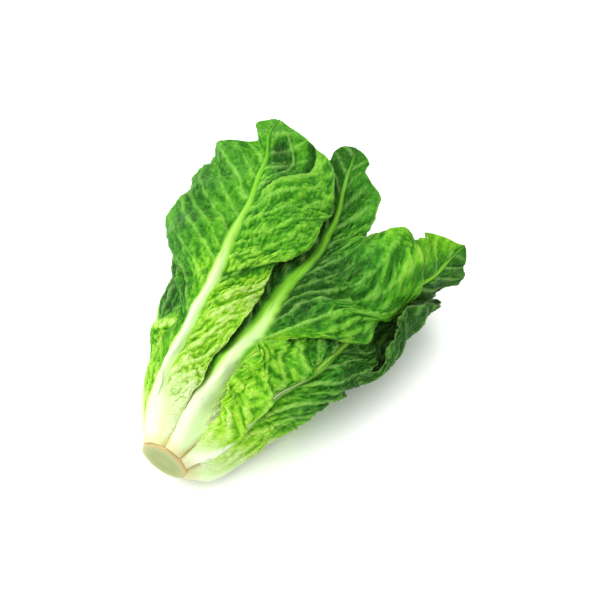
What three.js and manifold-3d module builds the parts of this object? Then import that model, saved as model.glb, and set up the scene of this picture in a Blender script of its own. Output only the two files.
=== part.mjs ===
// A romaine lettuce head lying on its side, in millimetres.
// X runs from the cut butt to the leaf tips, Z is up, the table is Z = 0 and the origin is
// under the middle of the head.
// Every leaf is laid out round a core line that runs through the head from butt to tips:
// x is how far along it a point is, turn is the angle round it (0 on top, positive
// towards -Y) and out is the distance from it. One bend of space, layDown, then presses
// the round head to the wide, low shape that it takes when it lies on a table.
import * as THREE from "three";
import Module from "manifold-3d";

// Driving dimensions of the whole head.
const buttRadius = 17;
const buttRim = 2.4;
const rootX = 4.2;
const rootOut = 15.5;
const bladeThickness = 0.9;
const rootThickness = 2.6;
const tableDrop = 0.4;
const middleX = 129.05;
const middleY = -4.06;

// How the lying head widens, sinks and rises along its length.
const headX = [0, 30, 60, 100, 150, 200, 250, 290];
const spreadAt = [1, 1.12, 1.18, 1.25, 1.36, 1.43, 1.43, 1.4];
const pressAt = [1, 0.92, 0.84, 0.75, 0.7, 0.68, 0.68, 0.68];
const coreHeightAt = [28, 32, 37.5, 42.5, 47, 48, 49, 50];
const headRadiusAt = [17, 37, 48, 58, 66, 70, 70, 64];

// Slow swells that the packed leaves share, so that they buckle together and never cross.
const swells = [
  { axis: "y", size: 2.6, along: 104, across: 88, phase: 0.6 },
  { axis: "y", size: 1.3, along: 47, across: -61, phase: 3.9 },
  { axis: "z", size: 2.4, along: -83, across: 96, phase: 2.1 },
  { axis: "z", size: 1.2, along: 41, across: 67, phase: 5.2 },
];
const swellFrom = 25;
const swellTo = 95;
const floorReach = 3;

// The rib of a full-size leaf, by the share of the leaf's length from root to tip.
const ribStations = [0, 0.07, 0.15, 0.3, 0.5, 0.7, 0.85, 1];
const ribThickness = [2.6, 4.6, 5.2, 4.4, 3, 1.8, 1, 0.4];
const ribHalfWidth = [8, 10.5, 11, 8.5, 5.6, 3.4, 2.2, 1.4];

// The leaves that show. A rib row is share of length, turn, out. A margin row is share of
// length, x, turn, out, and how far the blade between rib and margin bellies outwards. low
// is the margin on the side of negative turn, high the other one.
const showingLeaves = [
  {
    name: "leaf_top_left", to: 252, rows: 30, columns: 8, ribScale: 0.8,
    rib: [
      [0, -40, rootOut], [0.05, -42, 21], [0.13, -35, 33], [0.21, -30.5, 41.5],
      [0.34, -27.5, 49.5], [0.42, -22.5, 54.5], [0.5, -20.5, 58.6], [0.58, -23.5, 61],
      [0.66, -27.5, 63.2], [0.75, -26, 65], [0.82, -28, 65.5], [0.9, -32, 66], [1, -38, 67],
    ],
    low: [
      [0, rootX, -72, rootOut, 0], [0.07, 24, -53, 30, 0], [0.13, 42, -46, 37, 0], [0.2, 62, -42.5, 44, 0],
      [0.3, 88, -43, 51, 0], [0.36, 103, -48, 55, 1], [0.41, 117, -59, 58, 2],
      [0.46, 133, -71, 61, 3], [0.53, 153, -79, 66, 3],
      [0.61, 182, -82, 67, 2], [0.7, 206, -80, 69, 1], [0.75, 217, -75, 70, 0],
      [0.79, 222, -65, 70, 0], [0.83, 222, -54, 69, 0], [0.86, 221.5, -44, 68, 0],
      [0.885, 225, -38, 68, 0], [0.91, 231, -39.5, 68, 0], [0.95, 240, -43.5, 68, 0],
      [1, 250, -42, 67, 0],
    ],
    high: [
      [0, rootX, 1, rootOut, 0], [0.06, 20, 0.5, 25.3, 0], [0.1, 33, -3, 29, 0],
      [0.16, 50, 1, 32.3, 0], [0.25, 78, 1, 37, 0],
      [0.38, 118, 3.5, 44, 1], [0.46, 137, 5, 48.5, 3], [0.54, 160, 11, 53, 6],
      [0.63, 186, 11, 55, 7], [0.72, 207, 9, 56, 7], [0.77, 220, 5, 57, 5],
      [0.82, 232, -1, 57, -4], [0.86, 239, -8, 58, -5], [0.89, 239.5, -13, 60, -4],
      [0.94, 243, -19, 62.5, -2], [1, 250, -33, 66, 0],
    ],
    ruffle: 2.6, ruffles: 6.5, ruffleStart: 0.15,
    pleat: 1.6, pleats: 9, pleatStart: 0.4,
    lobe: 0.04, lobes: 7.3,
  },
  {
    name: "leaf_top_middle", to: 258, rows: 36, columns: 8, ribScale: 1.1,
    rib: [
      [0, 23, rootOut], [0.05, 14, 19], [0.1, 10.5, 22.4], [0.16, 12.5, 26.2], [0.22, 16, 28.8],
      [0.29, 16.5, 30.8], [0.36, 15.5, 32.8], [0.42, 17, 34], [0.5, 21, 35.8],
      [0.57, 22.5, 37.3], [0.65, 21.5, 38.8], [0.72, 17, 39.7], [0.8, 12.5, 40.2],
      [0.87, 12, 41], [0.93, 8, 41.7], [1, 0, 42],
    ],
    low: [
      [0, rootX, 7, rootOut, 0], [0.05, 18, 1, 18.6, 0], [0.12, 40, -9, 23, 0], [0.25, 78, -12, 29, 0],
      [0.4, 120, -14, 34, 0], [0.55, 160, -14, 37, 0], [0.7, 200, -14.5, 40, 0],
      [0.8, 226, -12, 42, 0], [0.87, 237, -6.5, 42.5, 0], [0.91, 243, -8, 42.5, 0],
      [0.95, 248.5, -11, 42.5, 0], [1, 254, -9, 42, 0],
    ],
    high: [
      [0, rootX, 44, rootOut, 0], [0.04, 16, 47.5, 18.4, 0], [0.1, 34, 54, 24.3, 0],
      [0.2, 62, 49, 32, 0], [0.25, 77, 42, 36, 0], [0.28, 86, 35, 41.5, 0],
      [0.31, 93, 31.5, 46, 1], [0.345, 101, 33, 50.5, 1], [0.375, 107, 41, 53, 3],
      [0.405, 115, 55, 57, 7], [0.43, 124, 69, 60, 9], [0.45, 134, 76, 60.5, 10],
      [0.475, 148, 71, 62.5, 11], [0.5, 160, 81, 64.5, 11], [0.52, 171, 87, 66, 11],
      [0.54, 182, 77, 67, 10], [0.565, 196, 62, 67.5, 9], [0.588, 208, 51, 68, 8],
      [0.61, 212, 43, 67, 6], [0.63, 205.5, 37.5, 63, 4], [0.66, 199, 34.5, 60, 2],
      [0.69, 196, 32.5, 54, 1], [0.72, 200, 37, 45, -2],
      [0.77, 214, 39, 42.5, -2], [0.83, 233, 38, 42, -2], [0.87, 240, 26, 42, -1],
      [0.9, 245, 17.5, 42, 0], [0.94, 253, 14, 42, 0], [1, 257, 8, 42, 0],
    ],
    ruffle: 1.8, ruffles: 5.5, ruffleStart: 0.7,
    pleat: 1.6, pleats: 10, pleatStart: 0.1,
    lobe: 0.03, lobes: 6.1,
  },
  {
    name: "leaf_right", to: 235, rows: 32, columns: 8, ribScale: 0.7,
    rib: [
      [0, 70, rootOut], [0.066, 78, 25.5], [0.133, 70, 32.5], [0.233, 65, 41],
      [0.333, 67, 46.5], [0.458, 71, 51.5], [0.6, 77, 55.5], [0.7, 78, 59],
      [0.77, 75, 62], [0.88, 73, 68], [0.954, 75, 70.5], [1, 78, 71.5],
    ],
    low: [
      [0, rootX, 48, rootOut, 0], [0.03, 12, 50, 20, 0], [0.07, 24, 44, 26, 2],
      [0.12, 37, 36, 32, 4], [0.16, 48, 27, 36.8, 5], [0.2, 60, 25, 40.5, 5], [0.25, 73, 26, 44, 5],
      [0.29, 84, 25.5, 47, 3], [0.33, 92, 29, 48, 1], [0.37, 104, 38, 47.3, 1],
      [0.41, 115, 40, 48, 1], [0.5, 142, 45, 49.5, 0],
      [0.62, 172, 49, 53, 0], [0.72, 197, 51, 58, 0], [0.8, 212, 52, 63.5, 0],
      [0.87, 221, 54.5, 68.5, 0], [0.93, 228, 63, 71, 0], [1, 232.5, 74, 71.5, 0],
    ],
    high: [
      [0, rootX, 84, rootOut, 0], [0.015, 7.6, 84, 17, 0], [0.05, 16, 96, 23, 0],
      [0.09, 28, 100, 31.5, 1],
      [0.15, 46, 96, 41, 2], [0.19, 57, 92, 48, 3], [0.24, 70, 94, 54.5, 4],
      [0.33, 94, 94, 64, 4], [0.41, 115, 92, 68, 3], [0.46, 128, 90, 66, 1],
      [0.52, 141, 99, 62, 0], [0.6, 162, 104, 61, 0], [0.7, 188, 105, 64.5, 0],
      [0.8, 208, 104, 70, 0], [0.88, 220, 99, 72, 0], [0.94, 227, 91, 72, 0],
      [1, 232.5, 83, 71.5, 0],
    ],
    ruffle: 1.6, ruffles: 7.5, ruffleStart: 0.35,
    pleat: 1.3, pleats: 8, pleatStart: 0.8,
    lobe: 0.04, lobes: 8.3,
  },
  {
    name: "leaf_outer_right", to: 208, rows: 22, columns: 6, ribScale: 1,
    rib: [
      [0, 117, rootOut], [0.017, 118, 23], [0.033, 120, 29], [0.067, 124, 33],
      [0.11, 129, 37], [0.18, 132, 43], [0.33, 134, 55], [0.5, 134, 64], [0.72, 133, 70],
      [0.86, 130, 71.5], [1, 124, 73],
    ],
    low: [
      [0, rootX, 88, rootOut, 0], [0.017, 7.8, 88, 23.5, 0], [0.033, 12, 83, 25.7, 1],
      [0.067, 19, 81, 31.2, 1], [0.11, 30, 83, 37, 2], [0.17, 45, 91, 45, 1],
      [0.21, 56, 94, 47, 0], [0.3, 73, 91, 49.5, 1], [0.4, 97, 90, 59.5, 1],
      [0.47, 113, 93, 62.5, 1], [0.52, 124, 94, 66.8, 1], [0.555, 132, 88, 69.8, 1],
      [0.6, 142, 79, 70.3, 2], [0.69, 160, 73.5, 71, 3], [0.78, 176, 74, 72, 2], [0.86, 188, 82, 73, 1],
      [0.93, 197, 93, 73.5, 0], [1, 203, 108, 73.5, 0],
    ],
    high: [
      [0, rootX, 146, rootOut, 0], [0.033, 12, 146, 21.5, 0], [0.09, 25, 151, 26, 0],
      [0.22, 56, 158, 36, 0], [0.39, 94, 166, 47, 0], [0.58, 132, 170, 54, 0],
      [0.76, 168, 168, 58, 0], [0.88, 192, 159, 62, 0], [1, 203, 140, 71, 0],
    ],
    ruffle: 1, ruffles: 7, ruffleStart: 0.1,
    pleat: 1, pleats: 8, pleatStart: 0.2,
    lobe: 0.03, lobes: 7.7,
  },
  {
    name: "leaf_underneath", to: 244, rows: 22, columns: 6, ribScale: 1, thick: 0.8,
    rib: [
      [0, 180, rootOut], [0.03, 180, 21], [0.08, 181, 28], [0.16, 182, 34.5],
      [0.3, 183, 45], [0.45, 183, 55.5], [0.6, 184, 61.5], [0.8, 184, 65], [1, 184, 66],
    ],
    low: [
      [0, rootX, 151, rootOut, 0], [0.03, 12, 153, 21, 0], [0.08, 25, 150, 33, 0], [0.2, 58, 150, 48, 0],
      [0.35, 96, 151, 62, 0], [0.55, 146, 152, 74, 0], [0.75, 194, 153, 78, 0],
      [0.9, 227, 158, 75, 0], [1, 240, 175, 69, 0],
    ],
    high: [
      [0, rootX, 210, rootOut, 0], [0.08, 25, 210, 33, 0], [0.2, 58, 211, 48, 0],
      [0.35, 96, 210, 62, 0], [0.55, 146, 208, 74, 0], [0.75, 194, 206, 77, 0],
      [0.9, 227, 201, 74, 0], [1, 241, 189, 68, 0],
    ],
    ruffle: 0.8, ruffles: 5, ruffleStart: 0.6,
    pleat: 0.6, pleats: 7, pleatStart: 0.5,
    lobe: 0.04, lobes: 6.7,
  },
  {
    name: "leaf_outer_left", to: 236, rows: 22, columns: 6, ribScale: 0.95,
    rib: [
      [0, -111, rootOut], [0.04, -110, 21], [0.1, -109, 30], [0.2, -108, 39],
      [0.27, -108, 43], [0.35, -108, 49], [0.55, -106, 59.5], [0.75, -103, 63.5],
      [0.9, -101, 65], [1, -99, 66],
    ],
    low: [
      [0, rootX, -146, rootOut, 0], [0.1, 30, -146, 30, 0], [0.25, 70, -147, 42, 0],
      [0.45, 120, -149, 54, 0], [0.65, 168, -149, 58, 0], [0.85, 212, -138, 61.5, 0],
      [1, 233, -108, 65, 0],
    ],
    high: [
      [0, rootX, -76, rootOut, 0], [0.04, 15, -70, 19, 0], [0.1, 32, -47, 27, 0],
      [0.2, 60, -40, 37, 0], [0.32, 92, -42, 45, 0], [0.45, 126, -50, 51, 0],
      [0.6, 160, -58, 56, 0], [0.8, 204, -66, 60.5, 0], [0.93, 224, -80, 63.5, 0],
      [1, 233, -92, 65, 0],
    ],
    ruffle: 2, ruffles: 6, ruffleStart: 0.8,
    pleat: 1, pleats: 8, pleatStart: 0.7,
    lobe: 0.04, lobes: 7.1,
  },
];

// The leaves inside wrap the core in rings. level is their distance out as a share of the
// head's radius, and halfTurn how far each margin goes round from the rib.
const innerLeaves = [
  { name: "leaf_inner_low", turn: 176, halfTurn: 58, level: 0.68, from: 22, to: 214, ribScale: 0.7 },
  { name: "leaf_inner_left", turn: -62, halfTurn: 44, level: 0.58, from: 20, to: 226, ribScale: 0.7 },
  { name: "leaf_inner_right", turn: 76, halfTurn: 42, level: 0.45, from: 20, to: 186, ribScale: 0.6 },
  { name: "leaf_inner_back", turn: -134, halfTurn: 48, level: 0.46, from: 36, to: 204, ribScale: 0.6 },
];
const heartLeaves = [
  { name: "leaf_heart_1", turn: 128, halfTurn: 56, level: 0.34, from: 48, to: 186, ribScale: 0.5 },
  { name: "leaf_heart_2", turn: -22, halfTurn: 58, level: 0.29, from: 48, to: 184, ribScale: 0.45 },
  { name: "leaf_heart_3", turn: -128, halfTurn: 60, level: 0.215, from: 48, to: 176, ribScale: 0.4 },
  { name: "leaf_heart_4", turn: 62, halfTurn: 70, level: 0.16, from: 58, to: 168, ribScale: 0.35 },
];
const innerStations = [0, 0.15, 0.3, 0.5, 0.7, 0.85, 1];
const innerOpening = [0.5, 0.8, 0.95, 1, 1, 0.86, 0.35];
const innerRise = [0, 0.35, 0.7, 0.95, 1, 1.04, 1.08];
const innerSweep = [0.05, 0.5, 0.65, 0.7, 0.55, 0.25, -0.35];

const degree = Math.PI / 180;
const { sin, cos, abs, exp, max, min, PI, sign } = Math;

function mix(a, b, share) {
  return a + (b - a) * share;
}

function smoothStep(low, high, value) {
  const share = min(1, max(0, (value - low) / (high - low)));
  return share * share * (3 - 2 * share);
}

// A smooth curve through values at rising stations, which never overshoots them.
function follow(stations, values, where) {
  const last = stations.length - 1;
  let i = 0;
  while (i < last - 1 && where > stations[i + 1]) i++;
  const slope = (j) => (values[j + 1] - values[j]) / (stations[j + 1] - stations[j]);
  const tangent = (j) => {
    if (j === 0) return slope(0);
    if (j === last) return slope(last - 1);
    const before = slope(j - 1);
    const after = slope(j);
    return before * after <= 0 ? 0 : (2 * before * after) / (before + after);
  };
  const step = stations[i + 1] - stations[i];
  const k = min(1, max(0, (where - stations[i]) / step));
  return (
    values[i] * (1 + 2 * k) * (1 - k) ** 2 +
    values[i + 1] * k * k * (3 - 2 * k) +
    step * (tangent(i) * k * (1 - k) ** 2 - tangent(i + 1) * k * k * (1 - k))
  );
}

// From x, turn and out round the core line to the place in the lying head.
function layDown(x, turn, out) {
  const place = new THREE.Vector3(
    x,
    -out * sin(turn * degree) * follow(headX, spreadAt, x),
    follow(headX, coreHeightAt, x) + out * cos(turn * degree) * follow(headX, pressAt, x),
  );
  const free = smoothStep(swellFrom, swellTo, x);
  for (const { axis, size, along, across, phase } of swells) {
    const other = axis === "y" ? place.z : place.y;
    place[axis] += free * size * sin(2 * PI * (x / along + other / across) + phase);
  }
  if (place.z < floorReach) place.z = floorReach * exp(place.z / floorReach - 1);
  return place;
}

// One entry of a leaf's rows as a smooth curve along the leaf.
function along(rows, entry, t) {
  return follow(rows.map((row) => row[0]), rows.map((row) => row[entry]), t);
}

// A point of a leaf's middle surface: t runs from root to tip, and s from the low margin
// (-1) over the rib (0) to the high margin (1). lift is a step outwards from it.
function leafPlace(leaf, t, s, lift = 0) {
  const margin = s < 0 ? leaf.low : leaf.high;
  const e = abs(s);
  const fade = smoothStep(1, 0.92, t) * smoothStep(0.03, 0.16, t);
  const lobe = 1 + leaf.lobe * fade * e * e * sin(2 * PI * leaf.lobes * t + 1.7 * sign(s));
  const ribX = mix(leaf.from ?? rootX, leaf.to, t);
  const x = mix(ribX, along(margin, 1, t), e ** 1.4);
  const turn = mix(along(leaf.rib, 1, t), along(margin, 2, t), e * lobe);
  const ruffle = leaf.ruffle * fade * e ** 3 *
    sin(2 * PI * (leaf.ruffles * t + leaf.ruffleStart + 0.23 * sign(s)));
  const pleat = leaf.pleat * fade * 4 * e * (1 - e) *
    sin(2 * PI * (leaf.pleats * t + leaf.pleatStart + 0.31 * sign(s)));
  const belly = along(margin, 4, t) * 4 * e * (1 - e);
  const out = mix(along(leaf.rib, 2, t), along(margin, 3, t), e) + belly;
  return layDown(x, turn, out + ruffle + pleat + lift);
}

// Half the leaf's width at t on one side, in millimetres along its surface.
function reach(leaf, t, way) {
  const places = [0, 0.5, 1].map((e) => leafPlace(leaf, t, e * way));
  return places[0].distanceTo(places[1]) + places[1].distanceTo(places[2]);
}

// The faces of a leaf as a closed solid: a grid on its outer face, the same grid on its
// inner face, split alike, and a rim between them.
function leafFaces(rows, columns) {
  const wide = columns + 1;
  const count = (rows + 1) * wide;
  const faces = [];
  const both = (a, b, c) => faces.push(a, b, c, a + count, c + count, b + count);
  for (let i = 0; i < rows; i++) {
    for (let j = 0; j < columns; j++) {
      const a = i * wide + j;
      if ((i + j) % 2) {
        both(a, a + 1, a + wide + 1);
        both(a, a + wide + 1, a + wide);
      } else {
        both(a, a + 1, a + wide);
        both(a + 1, a + wide + 1, a + wide);
      }
    }
  }
  const rim = (a, b) => faces.push(a, a + count, b, b, a + count, b + count);
  for (let j = 0; j < columns; j++) {
    rim(j, j + 1);
    rim(rows * wide + j + 1, rows * wide + j);
  }
  for (let i = 0; i < rows; i++) {
    rim((i + 1) * wide, i * wide);
    rim(i * wide + columns, (i + 1) * wide + columns);
  }
  return faces;
}

// A leaf: its rows crowd towards the root and its inner quarter of columns spans the rib.
function leafGeometry(leaf) {
  const columns = 2 * leaf.columns;
  const outer = [];
  const inner = [];
  for (let i = 0; i <= leaf.rows; i++) {
    const t = (i / leaf.rows) * (0.62 + (0.38 * i) / leaf.rows);
    const ribWidth = follow(ribStations, ribHalfWidth, t) * leaf.ribScale;
    const ribHigh = follow(ribStations, ribThickness, t) * leaf.ribScale;
    const blade = mix(rootThickness * leaf.ribScale, bladeThickness + (leaf.thick ?? 0),
      smoothStep(0, 0.35, t));
    for (let j = 0; j <= columns; j++) {
      const c = (2 * j) / columns - 1;
      const side = c < 0 ? -1 : 1;
      const wide = reach(leaf, t, side);
      const ribShare = min(0.6, ribWidth / wide);
      const s = side * (abs(c) < 0.25 ? (abs(c) / 0.25) * ribShare
        : mix(ribShare, 1, (abs(c) - 0.25) / 0.75));
      const step = 0.004;
      const forward = leafPlace(leaf, min(1, t + step), s)
        .sub(leafPlace(leaf, max(0, t - step), s));
      const outward = leafPlace(leaf, t, min(1, s + step))
        .sub(leafPlace(leaf, t, max(-1, s - step)))
        .cross(forward);
      outward.x *= smoothStep(0, 0.06, t);
      const here = leafPlace(leaf, t, s);
      const up = leafPlace(leaf, t, s, 1).sub(here).normalize();
      outward.normalize().addScaledVector(up, 2 * smoothStep(0.85, 1, t)).normalize();
      const shape = abs(s) * wide < ribWidth ? cos((PI / 2) * ((abs(s) * wide) / ribWidth)) ** 2 : 0;
      outer.push(here.clone().addScaledVector(outward, blade / 2 + 0.65 * ribHigh * shape));
      inner.push(here.clone().addScaledVector(outward, -blade / 2 - 0.35 * ribHigh * shape));
    }
  }
  const made = new THREE.BufferGeometry().setFromPoints([...outer, ...inner]);
  made.setIndex(leafFaces(leaf.rows, columns));
  return made;
}

// An inner leaf's own rows, worked out from its ring.
function innerLeaf(ring, rows, columns) {
  const radius = (t) => follow(headX, headRadiusAt, mix(ring.from, ring.to, t));
  const start = follow([20, 36, 48, 58], [12.8, 8.8, 7, 4.6], ring.from);
  const rib = innerStations.map((t, i) =>
    [t, ring.turn, mix(start, ring.level * radius(t), innerRise[i])]);
  const margin = (way) => innerStations.map((t, i) => {
    const halfTurn = innerOpening[i] * ring.halfTurn;
    const x = mix(ring.from, ring.to, t) + innerSweep[i] * halfTurn * degree * rib[i][2];
    return [t, x, ring.turn + way * halfTurn, rib[i][2] * 0.97, 0];
  });
  return {
    ...ring, rows, columns, rib, low: margin(-1), high: margin(1),
    ruffle: 1, ruffles: 6, ruffleStart: ring.level * 7,
    pleat: 0.5, pleats: 8, pleatStart: ring.level * 5, lobe: 0.04, lobes: 7 + ring.level * 3,
  };
}

// The stem: the butt with its flat cut, and inside the head the core that the leaves grow on.
function stemGeometry() {
  const profile = [
    [0, 0], [buttRadius - 0.9, 0], [buttRadius, 0.9], [buttRadius + 0.3, buttRim],
    [12.2, buttRim + 0.6], [10.6, 9], [7.4, 20], [4, 34], [0, 42],
  ].map(([radius, x]) => new THREE.Vector2(radius, x));
  const made = new THREE.LatheGeometry(profile, 28);
  made.rotateZ(-PI / 2);
  made.translate(0, 0, coreHeightAt[0]);
  return made;
}

const colours = {
  stem: "#d3d3a4",
  top: "#5fae2c",
  outer: "#4f9a2a",
  inner: "#8cc63f",
  heart: "#c5dc6a",
};

function material(colour) {
  return new THREE.MeshStandardMaterial({ color: colour, roughness: 0.45, metalness: 0 });
}

const wasm = await Module();
wasm.setup();

function toSolid(geometry) {
  return new wasm.Manifold(new wasm.Mesh({
    numProp: 3,
    vertProperties: new Float32Array(geometry.getAttribute("position").array),
    triVerts: new Uint32Array(geometry.index.array),
  }));
}

function toGeometry(solid) {
  const mesh = solid.getMesh();
  const made = new THREE.BufferGeometry();
  made.setAttribute("position", new THREE.BufferAttribute(mesh.vertProperties, 3));
  made.setIndex(new THREE.BufferAttribute(mesh.triVerts, 1));
  return made;
}

const head = new THREE.Group();

// Puts a piece in the middle and lowers it onto the table, where its underside is flat.
function settle(geometry) {
  geometry.translate(-middleX, -middleY, -tableDrop);
  geometry.computeBoundingBox();
  if (geometry.boundingBox.min.z >= 0) return geometry;
  return toGeometry(toSolid(geometry).trimByPlane([0, 0, 1], 0));
}

function addLeaf(leaf, colour) {
  const mesh = new THREE.Mesh(settle(leafGeometry(leaf)), material(colour));
  mesh.name = leaf.name;
  head.add(mesh);
}

const stem = new THREE.Mesh(settle(stemGeometry()), material(colours.stem));
stem.name = "stem";
head.add(stem);
for (const leaf of showingLeaves) {
  addLeaf(leaf, leaf.name.includes("top") ? colours.top : colours.outer);
}
for (const ring of innerLeaves) addLeaf(innerLeaf(ring, 16, 5), colours.inner);
for (const ring of heartLeaves) addLeaf(innerLeaf(ring, 12, 4), colours.heart);

export default head;
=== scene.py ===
# A romaine lettuce head lying on its side: every leaf is a bent, veined and crinkled sheet
# with a thick rib, grown round a core line that runs from the cut butt to the leaf tips.
import math
from types import SimpleNamespace
import bmesh
import bpy
import numpy as np
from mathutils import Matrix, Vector


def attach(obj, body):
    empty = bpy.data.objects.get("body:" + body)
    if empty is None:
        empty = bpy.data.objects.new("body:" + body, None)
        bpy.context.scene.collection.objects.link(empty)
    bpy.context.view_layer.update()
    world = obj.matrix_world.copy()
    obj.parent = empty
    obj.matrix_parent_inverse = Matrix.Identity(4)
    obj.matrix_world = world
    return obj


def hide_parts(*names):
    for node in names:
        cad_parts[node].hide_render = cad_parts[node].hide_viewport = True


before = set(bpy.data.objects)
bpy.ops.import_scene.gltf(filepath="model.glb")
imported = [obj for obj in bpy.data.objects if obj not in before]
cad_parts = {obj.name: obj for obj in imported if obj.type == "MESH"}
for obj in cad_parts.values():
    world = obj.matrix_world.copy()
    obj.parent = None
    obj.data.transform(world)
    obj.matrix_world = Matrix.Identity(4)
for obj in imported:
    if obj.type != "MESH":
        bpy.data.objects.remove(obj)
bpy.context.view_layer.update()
print("frame loaded:", len(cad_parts), "solids")

scene = bpy.context.scene

# Millimetres, measured from the middle of the cut: x along the core line, turn in degrees
# round it (0 on top, positive to the right seen from the butt), out from it.
head = {
    "rootX": 4.2, "rootOut": 15.5, "middle": (129.05, -4.06, 0.4), "floorReach": 3.0,
    "x": [0, 30, 60, 100, 150, 200, 250, 290],
    "spread": [1, 1.12, 1.18, 1.25, 1.36, 1.43, 1.43, 1.4],
    "press": [1, 0.92, 0.84, 0.75, 0.7, 0.68, 0.68, 0.68],
    "coreHeight": [28, 32, 37.5, 42.5, 47, 48, 49, 50],
    "radius": [17, 37, 48, 58, 66, 70, 70, 64],
    "swells": [("y", 2.6, 104, 88, 0.6), ("y", 1.3, 47, -61, 3.9),
               ("z", 2.4, -83, 96, 2.1), ("z", 1.2, 41, 67, 5.2)],
    "ribAt": [0, 0.07, 0.15, 0.3, 0.5, 0.7, 0.85, 1],
    "ribThickness": [2.6, 4.6, 5.2, 4.4, 3, 1.8, 1, 0.4],
}
rootX, rootOut = head["rootX"], head["rootOut"]


def smoothStep(low, high, value):
    k = np.clip((value - low) / (high - low), 0, 1)
    return k * k * (3 - 2 * k)


def mix(a, b, share):
    return a + (b - a) * share


def follow(stations, values, where):  # a smooth curve that never overshoots its values
    stations, values = np.asarray(stations, float), np.asarray(values, float)
    slope = np.diff(values) / np.diff(stations)
    tangent = np.concatenate([slope[:1], slope])
    before, after = slope[:-1], slope[1:]
    turns = before * after <= 0
    tangent[1:-1] = np.where(turns, 0, 2 * before * after / np.where(turns, 1, before + after))
    i = np.clip(np.searchsorted(stations, where) - 1, 0, len(slope) - 1)
    step = stations[i + 1] - stations[i]
    k = np.clip((where - stations[i]) / step, 0, 1)
    ends = values[i] * (1 + 2 * k) * (1 - k) ** 2 + values[i + 1] * k * k * (3 - 2 * k)
    return ends + step * (tangent[i] * k * (1 - k) ** 2 - tangent[i + 1] * k * k * (1 - k))


def along(rows, entry, t):  # one entry of the rows, followed from root to tip
    return follow([row[0] for row in rows], [row[entry] for row in rows], t)


def layDown(x, turn, out):  # from x, turn and out to the place in the lying head
    angle = np.radians(turn)
    y = -out * np.sin(angle) * follow(head["x"], head["spread"], x)
    z = follow(head["x"], head["coreHeight"], x) + out * np.cos(angle) * follow(head["x"], head["press"], x)
    free = smoothStep(25, 95, x)
    for axis, size, lengthways, across, phase in head["swells"]:
        if axis == "y":
            y = y + free * size * np.sin(2 * np.pi * (x / lengthways + z / across) + phase)
        else:
            z = z + free * size * np.sin(2 * np.pi * (x / lengthways + y / across) + phase)
    reach = head["floorReach"]
    z = np.where(z < reach, reach * np.exp(z / reach - 1), z)  # it flattens just over the floor
    return np.stack([x, y, z], -1)


def hashed(i, j, seed):  # a fixed value from 0 to 1 for a pair of whole numbers
    value = np.sin(i * 127.1 + j * 311.7 + seed * 74.7) * 43758.5453
    return value - np.floor(value)


def drift(x, y, seed):  # smooth noise from -1 to 1
    i, j = np.floor(x), np.floor(y)
    a, b = x - i, y - j
    a, b = a * a * (3 - 2 * a), b * b * (3 - 2 * b)
    low = mix(hashed(i, j, seed), hashed(i + 1, j, seed), a)
    high = mix(hashed(i, j + 1, seed), hashed(i + 1, j + 1, seed), a)
    return 2 * mix(low, high, b) - 1


def cells(x, y, seed):  # distance to the edge of a cell, in cells, and a value per cell
    i, j = np.floor(x), np.floor(y)
    nearest = np.full(np.shape(x), 9.0)
    second = np.full(np.shape(x), 9.0)
    own = np.zeros(np.shape(x))
    for a, b in [(i + di, j + dj) for di in (-1, 0, 1) for dj in (-1, 0, 1)]:
        awayX = a + 0.1 + 0.8 * hashed(a, b, seed) - x
        awayY = b + 0.1 + 0.8 * hashed(a, b, seed + 9) - y
        away = np.hypot(awayX, awayY)
        closer = away < nearest
        second = np.where(closer, nearest, np.minimum(second, away))
        own = np.where(closer, hashed(a, b, seed + 17), own)
        nearest = np.where(closer, away, nearest)
    return second - nearest, own


def blurred(values, reach):  # averaged over a square of points, twice
    for axis in (0, 1, 0, 1):
        padded = np.concatenate([np.take(values, [0] * (reach + 1), axis), values,
                                 np.take(values, [-1] * reach, axis)], axis)
        total = np.cumsum(padded, axis)
        count = values.shape[axis]
        window = 2 * reach + 1
        values = (np.take(total, range(window, window + count), axis)
                  - np.take(total, range(count), axis)) / window
    return values


def leafSheet(leaf, t, s):  # t from root to tip, s from the low margin -1 over the rib to 1
    e, side = np.abs(s), np.sign(s)
    fade = smoothStep(1, 0.92, t) * smoothStep(0.03, 0.16, t)

    def margin(entry):
        return np.where(s < 0, along(leaf["low"], entry, t), along(leaf["high"], entry, t))

    lobe = 1 + leaf["lobe"] * fade * e * e * np.sin(2 * np.pi * leaf["lobes"] * t + 1.7 * side)
    x = mix(mix(leaf.get("from", rootX), leaf["to"], t), margin(1), e ** 1.4)
    turn = mix(along(leaf["rib"], 1, t), margin(2), e * lobe)
    ruffle = leaf["ruffle"] * fade * e ** 3 * np.sin(
        2 * np.pi * (leaf["ruffles"] * t + leaf["ruffleStart"] + 0.23 * side))
    pleat = leaf["pleat"] * fade * 4 * e * (1 - e) * np.sin(
        2 * np.pi * (leaf["pleats"] * t + leaf["pleatStart"] + 0.31 * side))
    out = mix(along(leaf["rib"], 2, t), margin(3), e) + margin(4) * 4 * e * (1 - e)
    return x, turn, out + ruffle + pleat, fade


def linear(hexColour):  # an sRGB hex colour as linear red, green, blue and alpha
    parts = [int(hexColour[i:i + 2], 16) / 255 for i in (1, 3, 5)]
    return [p / 12.92 if p <= 0.04045 else ((p + 0.055) / 1.055) ** 2.4 for p in parts] + [1.0]


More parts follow.
